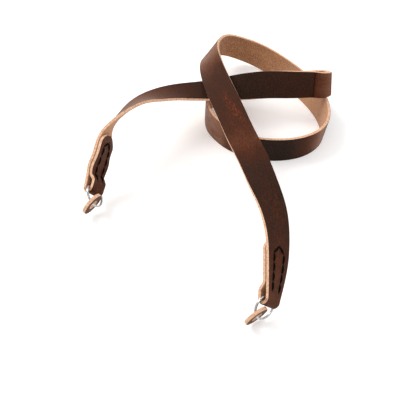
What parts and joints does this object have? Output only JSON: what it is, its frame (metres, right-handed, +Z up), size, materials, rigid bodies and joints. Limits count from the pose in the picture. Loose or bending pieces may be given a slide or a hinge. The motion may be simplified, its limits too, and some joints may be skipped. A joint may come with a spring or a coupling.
{
  "type": "camera neck strap",
  "caption": "Leather camera neck strap with sewn, folded ends, split rings and round leather guards, lying in loose loops on a surface.",
  "frame": {"origin": "centre of the bounding box in plan, on the surface that the strap lies on", "axes": "+Z up from the surface, +Y away from the two ringed ends towards the far bend, +X to the right seen from the ringed ends"},
  "size_m": [0.1762, 0.273, 0.0481],
  "materials": {
    "strap_leather": "satin",
    "guard_leather": "satin",
    "ring_metal": "polished"
  },
  "bodies": {
    "root": {"strap": "strap_leather", "split_ring_right": "ring_metal", "split_ring_left": "ring_metal", "guard_disc_right": "guard_leather", "guard_disc_left": "guard_leather"}
  },
  "joints": []
}
